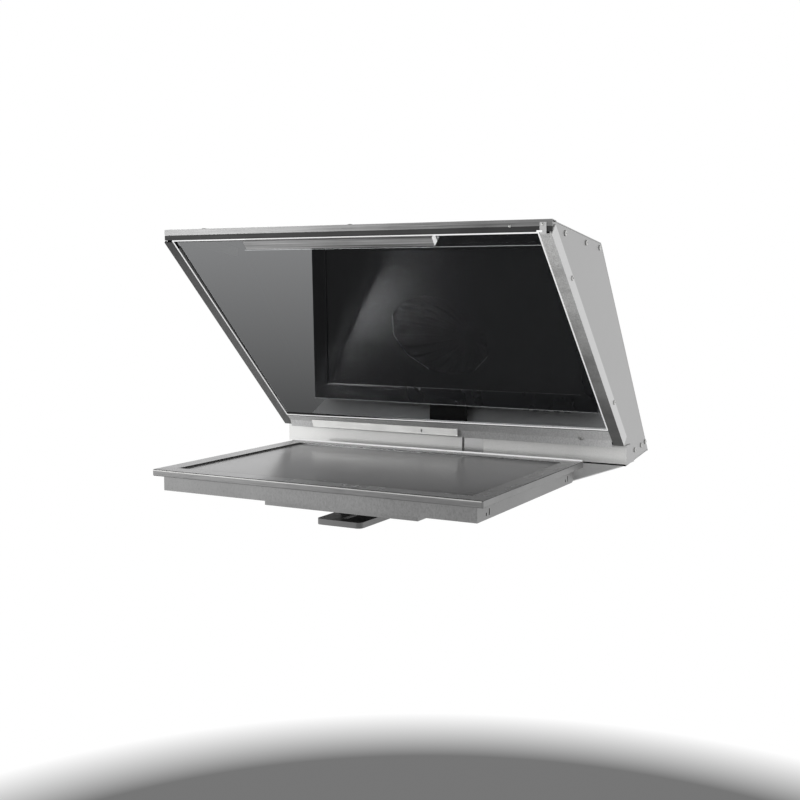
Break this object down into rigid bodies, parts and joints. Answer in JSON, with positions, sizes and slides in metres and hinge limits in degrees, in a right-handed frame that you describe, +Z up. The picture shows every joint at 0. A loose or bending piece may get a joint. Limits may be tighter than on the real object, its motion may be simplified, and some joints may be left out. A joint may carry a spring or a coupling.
{
  "type": "teleprompter",
  "caption": "Through-the-glass studio teleprompter: face-up monitor in a tray, sloping beamsplitter glass in a light-tight hood, slotted rail and sliding camera mount.",
  "frame": {"origin": "middle of the tripod pad, on the underside of the rail, midway between its two tripod holes", "axes": "+Y along the rail from the person reading towards the camera, +Z up, +X to the camera operator's right"},
  "size_m": [0.6716, 0.802, 0.4708],
  "materials": {
    "rail_metal": "brushed along its length",
    "mount_metal": "brushed",
    "dark_anodised": "dark anodised, satin",
    "tray_metal": "bare sheet with a fine speckled grain",
    "monitor_plastic": "gloss black",
    "screen": "dark, glossy",
    "chassis_metal": "plain sheet",
    "circuit_board": "green solder mask",
    "black_paint": "matt black",
    "pale_sheet": "satin sheet",
    "bright_metal": "bright, lightly brushed",
    "frame_metal": "brushed",
    "beamsplitter": "part-mirrored, smooth",
    "seal_rubber": "matt black",
    "sleeve_fabric": "black woven cloth",
    "knob_plastic": "satin black",
    "screw_metal": "bright plated"
  },
  "bodies": {
    "rail": {"rail_plate": "rail_metal"},
    "prompter": {"spacer_block": "dark_anodised", "base_channel": "tray_metal", "monitor_tray": "tray_metal", "monitor_bezel": "monitor_plastic", "lcd_panel": "screen", "backlight_chassis": "chassis_metal", "monitor_back_shell": "monitor_plastic", "power_inlet": "monitor_plastic", "video_socket": "monitor_plastic", "controller_board": "circuit_board", "power_board": "circuit_board", "cable_cover": "black_paint", "base_ramp": "pale_sheet", "riser_left": "pale_sheet", "riser_right": "pale_sheet", "riser_splice": "rail_metal", "hood_pedestal": "dark_anodised", "hood_side_left": "pale_sheet", "hood_side_right": "pale_sheet", "hood_top": "pale_sheet", "hood_floor": "pale_sheet", "hood_back": "pale_sheet", "lens_ring": "knob_plastic", "lens_sleeve": "sleeve_fabric", "roof_lip": "frame_metal", "glass_frame_left": "frame_metal", "glass_frame_right": "frame_metal", "glass_frame_top": "frame_metal", "glass_frame_bottom": "frame_metal", "beamsplitter_glass": "beamsplitter", "glass_seal": "seal_rubber", "glass_stop_bar": "pale_sheet", "glass_foot_strip": "bright_metal", "screw_left_floor_back": "screw_metal", "screw_left_floor_front": "screw_metal", "screw_left_floor_middle": "screw_metal", "screw_left_roof_back": "screw_metal", "screw_left_roof_front": "screw_metal", "screw_left_roof_middle": "screw_metal", "screw_right_floor_back": "screw_metal", "screw_right_floor_front": "screw_metal", "screw_right_floor_middle": "screw_metal", "screw_right_roof_back": "screw_metal", "screw_right_roof_front": "screw_metal", "screw_right_roof_middle": "screw_metal"},
    "hood_lock": {"hood_lock_knob": "knob_plastic"},
    "carriage": {"camera_carriage": "mount_metal"},
    "carriage_lock": {"carriage_lock_knob": "knob_plastic"},
    "platform": {"camera_platform": "mount_metal"},
    "height_lock_left": {"height_knob_left": "knob_plastic"},
    "height_lock_right": {"height_knob_right": "knob_plastic"},
    "screw_washer": {"camera_screw_washer": "bright_metal"},
    "camera_bolt": {"camera_screw": "bright_metal"},
    "key_power": {"button_power": "monitor_plastic"},
    "key_source": {"button_source": "monitor_plastic"},
    "key_menu": {"button_menu": "monitor_plastic"},
    "key_up": {"button_up": "monitor_plastic"},
    "key_down": {"button_down": "monitor_plastic"}
  },
  "joints": [
    {"name": "prompter_slide", "type": "slide", "parent": "rail", "child": "prompter", "axis": [0, 1, 0], "range_m": [-0.06, 0.02]},
    {"name": "hood_lock_turn", "type": "hinge", "parent": "prompter", "child": "hood_lock", "pos_m": [0, -0.155, -0.0003], "axis": [0, 0, -1], "range_deg": [0, 540]},
    {"name": "carriage_slide", "type": "slide", "parent": "rail", "child": "carriage", "axis": [0, 1, 0], "range_m": [-0.02, 0.05]},
    {"name": "carriage_lock_turn", "type": "hinge", "parent": "carriage", "child": "carriage_lock", "pos_m": [0, 0.189, -0.0003], "axis": [0, 0, -1], "range_deg": [0, 540]},
    {"name": "platform_lift", "type": "slide", "parent": "carriage", "child": "platform", "axis": [0, 0, 1], "range_m": [0, 0.06]},
    {"name": "height_lock_left_turn", "type": "hinge", "parent": "carriage", "child": "height_lock_left", "pos_m": [-0.0443, 0.189, 0.118], "axis": [-1, 0, 0], "range_deg": [0, 540]},
    {"name": "height_lock_right_turn", "type": "hinge", "parent": "carriage", "child": "height_lock_right", "pos_m": [0.0443, 0.189, 0.118], "axis": [1, 0, 0], "range_deg": [0, 540]},
    {"name": "camera_screw_slide", "type": "slide", "parent": "platform", "child": "screw_washer", "axis": [0, 1, 0], "range_m": [-0.035, 0.05]},
    {"name": "camera_screw_turn", "type": "hinge", "parent": "screw_washer", "child": "camera_bolt", "pos_m": [0, 0.189, 0.141], "axis": [0, 0, 1], "continuous": true},
    {"name": "press_power", "type": "slide", "parent": "prompter", "child": "key_power", "axis": [0, -1, 0], "range_m": [0, 0.0012], "stiffness_N_per_m": 400},
    {"name": "press_source", "type": "slide", "parent": "prompter", "child": "key_source", "axis": [0, -1, 0], "range_m": [0, 0.0012], "stiffness_N_per_m": 400},
    {"name": "press_menu", "type": "slide", "parent": "prompter", "child": "key_menu", "axis": [0, -1, 0], "range_m": [0, 0.0012], "stiffness_N_per_m": 400},
    {"name": "press_up", "type": "slide", "parent": "prompter", "child": "key_up", "axis": [0, -1, 0], "range_m": [0, 0.0012], "stiffness_N_per_m": 400},
    {"name": "press_down", "type": "slide", "parent": "prompter", "child": "key_down", "axis": [0, -1, 0], "range_m": [0, 0.0012], "stiffness_N_per_m": 400}
  ]
}
